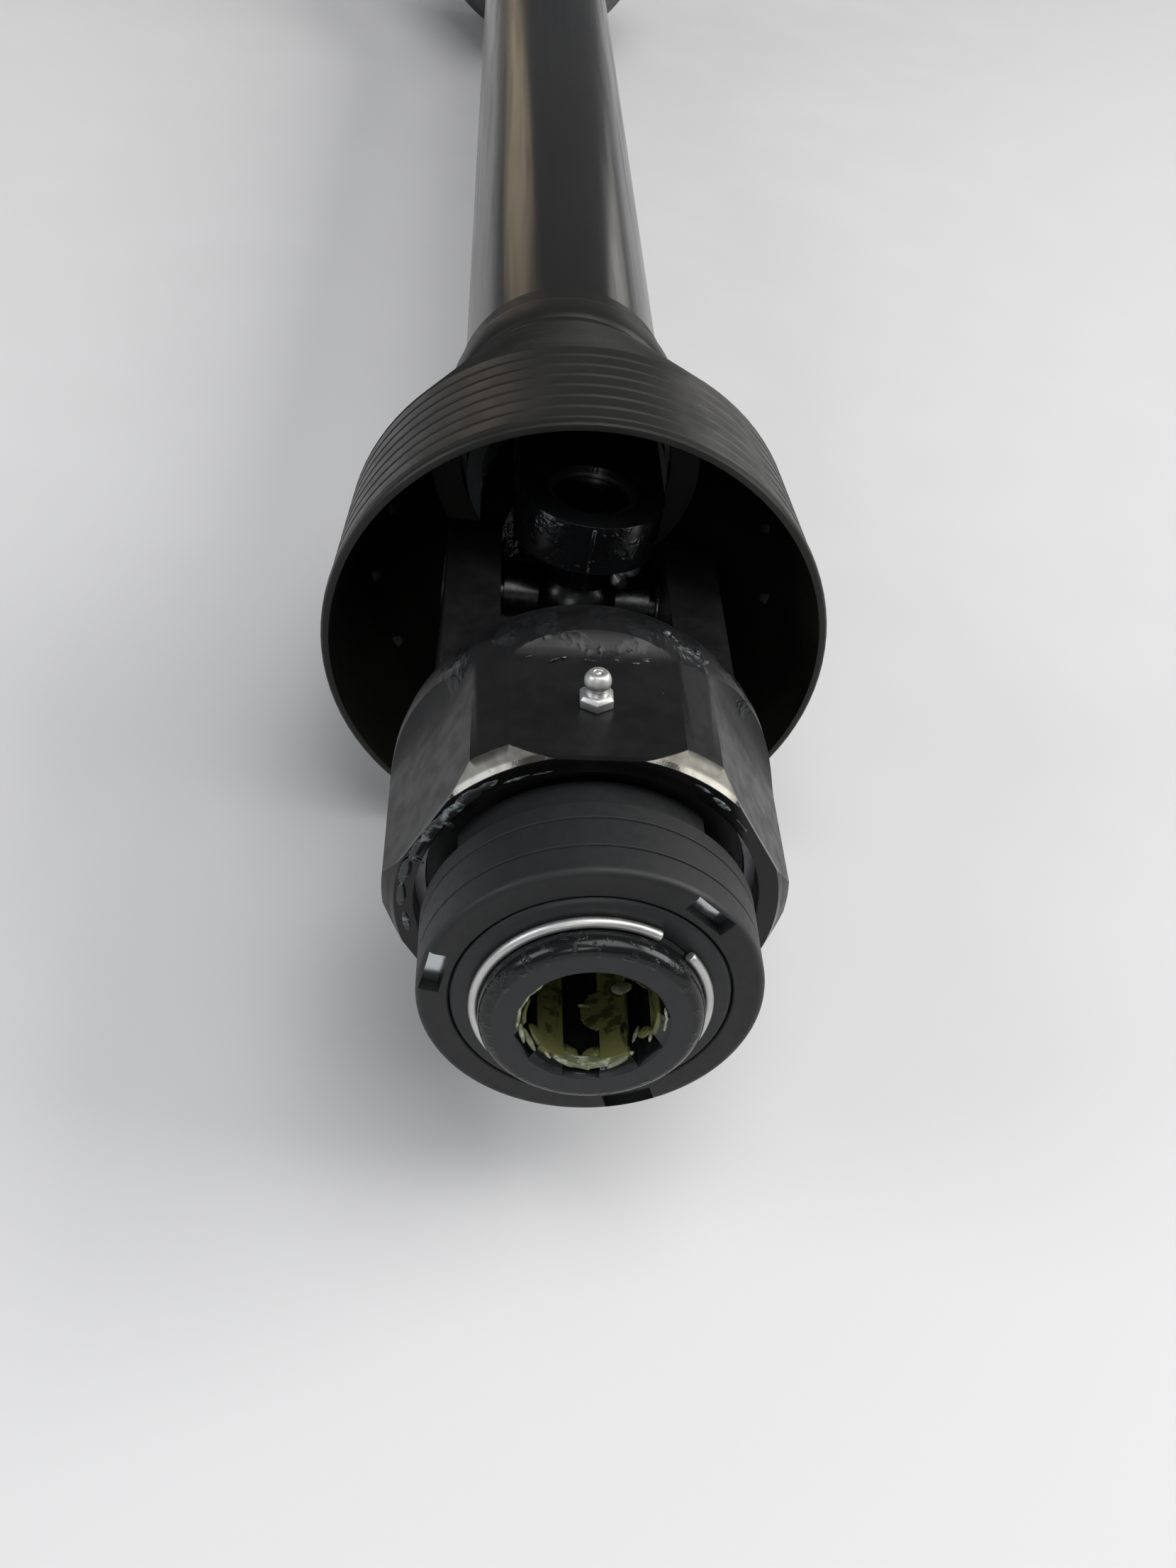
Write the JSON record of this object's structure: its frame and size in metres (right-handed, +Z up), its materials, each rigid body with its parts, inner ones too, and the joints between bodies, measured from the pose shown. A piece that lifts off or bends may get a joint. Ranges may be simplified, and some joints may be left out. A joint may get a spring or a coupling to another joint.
{
  "type": "pto drive shaft",
  "caption": "Telescoping drive shaft with an overrunning clutch, universal joints, splined ends and a black plastic guard with cones.",
  "frame": {"origin": "mouth of the implement bore, on the shaft's axis", "axes": "+Y along the shaft from the implement end to the tractor end, +Z up"},
  "size_m": [0.1492, 1.131, 0.1492],
  "materials": {
    "black_paint": "satin black paint over a forging",
    "machined_steel": "turned steel",
    "black_steel": "blackened steel",
    "bearing_steel": "ground bearing steel",
    "zinc": "bright zinc plate",
    "spring_steel": "spring steel",
    "collar_plastic": "moulded black plastic",
    "cone_plastic": "moulded black plastic",
    "tube_plastic": "extruded black plastic",
    "ring_plastic": "natural nylon"
  },
  "bodies": {
    "guard_a": {"cone_a": "cone_plastic", "guard_tube_outer": "tube_plastic", "bearing_ring_a": "ring_plastic"},
    "shaft_a": {"shaft_yoke_a": "black_paint", "roll_pin_a": "spring_steel", "profile_tube_outer": "machined_steel", "cups_shaft_yoke_a": "bearing_steel", "snap_rings_shaft_yoke_a": "spring_steel"},
    "cross_body_a": {"cross_a": "machined_steel", "cross_nipple_a": "zinc"},
    "clutch": {"clutch_housing": "black_paint", "cups_clutch_yoke": "bearing_steel", "snap_rings_clutch_yoke": "spring_steel", "closing_washer": "black_steel", "housing_circlip": "spring_steel", "grease_nipple": "zinc"},
    "hub": {"clutch_hub": "black_steel", "stop_ring": "black_steel", "wire_ring": "zinc", "collar_spring": "spring_steel", "key_spring_right": "spring_steel", "key_spring_left": "spring_steel"},
    "key_body_right": {"key_right": "bearing_steel"},
    "key_body_left": {"key_left": "bearing_steel"},
    "collar": {"release_collar": "collar_plastic", "locking_sleeve": "black_steel"},
    "lock_ball_1": {"ball_1": "bearing_steel"},
    "lock_ball_2": {"ball_2": "bearing_steel"},
    "lock_ball_3": {"ball_3": "bearing_steel"},
    "shaft_b": {"shaft_yoke_b": "black_paint", "roll_pin_b": "spring_steel", "profile_tube_inner": "machined_steel", "cups_shaft_yoke_b": "bearing_steel", "snap_rings_shaft_yoke_b": "spring_steel"},
    "guard_b": {"cone_b": "cone_plastic", "guard_tube_inner": "tube_plastic", "bearing_ring_b": "ring_plastic"},
    "cross_body_b": {"cross_b": "machined_steel", "cross_nipple_b": "zinc"},
    "tractor_end": {"tractor_yoke": "black_paint", "cups_tractor_yoke": "bearing_steel", "snap_rings_tractor_yoke": "spring_steel", "push_pin_spring": "spring_steel"},
    "release_pin": {"push_pin": "zinc"}
  },
  "joints": [
    {"name": "shaft_turn", "type": "hinge", "parent": "guard_a", "child": "shaft_a", "pos_m": [0, 0.172, 0], "axis": [0, 1, 0], "continuous": true},
    {"name": "joint_a_upright", "type": "hinge", "parent": "shaft_a", "child": "cross_body_a", "pos_m": [0, 0.172, 0], "axis": [0, 0, 1], "range_deg": [-25, 25]},
    {"name": "joint_a_across", "type": "hinge", "parent": "cross_body_a", "child": "clutch", "pos_m": [0, 0.172, 0], "axis": [1, 0, 0], "range_deg": [-25, 25]},
    {"name": "hub_turn", "type": "hinge", "parent": "clutch", "child": "hub", "pos_m": [0, 0, 0], "axis": [0, 1, 0], "continuous": true},
    {"name": "collar_slide", "type": "slide", "parent": "hub", "child": "collar", "axis": [0, 1, 0], "range_m": [0, 0.007], "stiffness_N_per_m": 1500, "springref_m": -0.006, "deforming": ["collar_spring"]},
    {"name": "ball_1_lift", "type": "slide", "parent": "hub", "child": "lock_ball_1", "axis": [0.6691, 0, 0.7431], "range_m": [0, 0.0023]},
    {"name": "ball_2_lift", "type": "slide", "parent": "hub", "child": "lock_ball_2", "axis": [0.309, 0, -0.9511], "range_m": [0, 0.0023]},
    {"name": "ball_3_lift", "type": "slide", "parent": "hub", "child": "lock_ball_3", "axis": [-0.9781, 0, 0.2079], "range_m": [0, 0.0023]},
    {"name": "key_right_slide", "type": "slide", "parent": "hub", "child": "key_body_right", "axis": [-1, 0, 0], "range_m": [0, 0.0028], "stiffness_N_per_m": 1000, "springref_m": -0.003, "deforming": ["key_spring_right"]},
    {"name": "key_left_slide", "type": "slide", "parent": "hub", "child": "key_body_left", "axis": [1, 0, 0], "range_m": [0, 0.0028], "stiffness_N_per_m": 1000, "springref_m": -0.003, "deforming": ["key_spring_left"]},
    {"name": "telescope", "type": "slide", "parent": "shaft_a", "child": "shaft_b", "axis": [0, 1, 0], "range_m": [0, 0.35]},
    {"name": "guard_b_turn", "type": "hinge", "parent": "shaft_b", "child": "guard_b", "pos_m": [0, 1.032, 0], "axis": [0, 1, 0], "continuous": true},
    {"name": "joint_b_upright", "type": "hinge", "parent": "shaft_b", "child": "cross_body_b", "pos_m": [0, 1.032, 0], "axis": [0, 0, 1], "range_deg": [-25, 25]},
    {"name": "joint_b_across", "type": "hinge", "parent": "cross_body_b", "child": "tractor_end", "pos_m": [0, 1.032, 0], "axis": [1, 0, 0], "range_deg": [-25, 25]},
    {"name": "push_pin_press", "type": "slide", "parent": "tractor_end", "child": "release_pin", "axis": [0, 0, -1], "range_m": [0, 0.0095], "stiffness_N_per_m": 1200, "springref_m": -0.008, "deforming": ["push_pin_spring"]}
  ],
  "couplings": [
    {"joint": "ball_1_lift", "follows": "collar_slide", "ratio": 0.32857},
    {"joint": "ball_2_lift", "follows": "collar_slide", "ratio": 0.32857},
    {"joint": "ball_3_lift", "follows": "collar_slide", "ratio": 0.32857}
  ]
}
